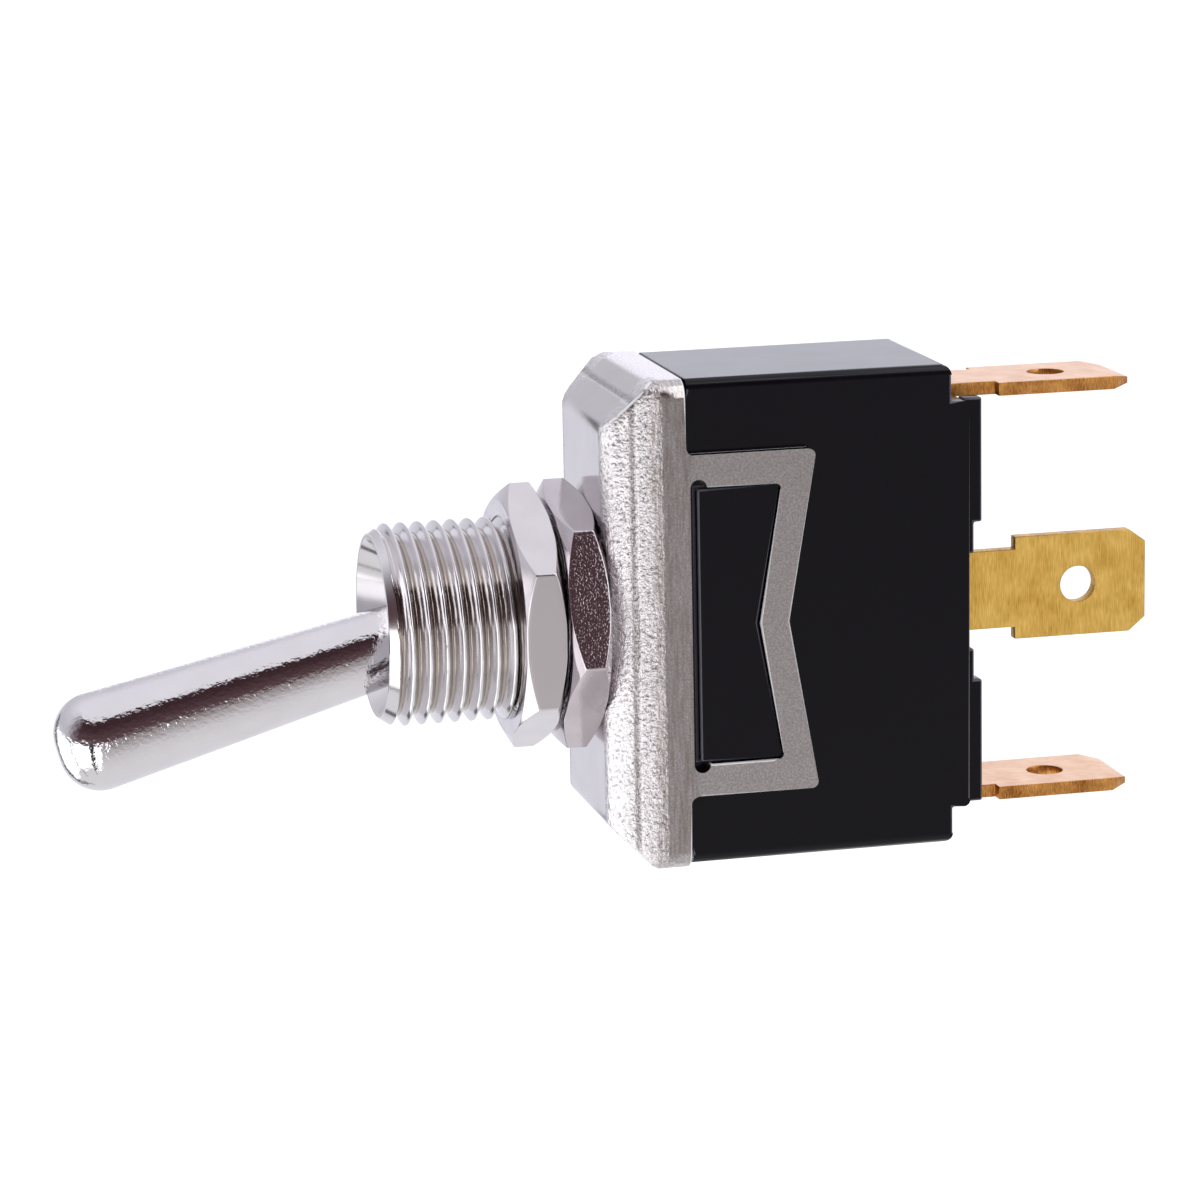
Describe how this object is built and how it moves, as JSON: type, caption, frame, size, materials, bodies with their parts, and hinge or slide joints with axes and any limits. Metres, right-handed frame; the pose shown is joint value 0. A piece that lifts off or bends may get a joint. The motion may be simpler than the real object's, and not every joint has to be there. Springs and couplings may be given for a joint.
{
  "type": "panel toggle switch",
  "caption": "Panel toggle switch: bat lever in a threaded bushing with hexagon nuts, sheet-metal mounting frame, moulded case and blade terminals.",
  "frame": {"origin": "on the bushing's axis, in the front face of the front nut, where the back of a panel or the nut's face meets", "axes": "+Y rearward along the bushing to the terminals, +Z along the length of the case, +X across it"},
  "size_m": [0.0158, 0.0667, 0.0292],
  "materials": {
    "plated": "bright nickel plate",
    "frame": "satin nickel plate",
    "pin": "ground steel",
    "phenolic": "moulded phenolic, satin",
    "sheet": "laminated paper",
    "bronze": "rolled strip with sheared edges",
    "brass": "rolled strip with fine grain",
    "silver": "satin silver",
    "nylon": "moulded nylon",
    "spring": "drawn wire"
  },
  "bodies": {
    "base": {"case": "phenolic", "mounting_frame": "frame", "bushing": "plated", "front_nut": "plated", "rear_nut": "plated", "insulator": "sheet", "upper_terminal": "bronze", "lower_terminal": "bronze", "centre_terminal": "brass", "fulcrum_saddle": "brass", "saddle_rivet": "brass", "upper_fixed_contact": "silver", "lower_fixed_contact": "silver"},
    "lever": {"toggle_lever": "plated", "pivot_pin": "pin", "plunger_spring": "spring"},
    "plunger": {"plunger": "nylon"},
    "rocker": {"rocker": "brass", "upper_moving_contact": "silver", "lower_moving_contact": "silver"}
  },
  "joints": [
    {"name": "lever_swing", "type": "hinge", "parent": "base", "child": "lever", "pos_m": [0, -0.00215, 0], "axis": [-1, 0, 0], "range_deg": [0, 29]},
    {"name": "rocker_tilt", "type": "hinge", "parent": "base", "child": "rocker", "pos_m": [0, 0.0199, 0], "axis": [1, 0, 0], "range_deg": [0, 16]},
    {"name": "plunger_slide", "type": "slide", "parent": "lever", "child": "plunger", "axis": [0, -0.9681, -0.2504], "range_m": [0, 0.0006], "stiffness_N_per_m": 200, "springref_m": -0.002, "deforming": ["plunger_spring"]}
  ],
  "couplings": [
    {"joint": "rocker_tilt", "follows": "lever_swing", "ratio": 0.55172}
  ]
}
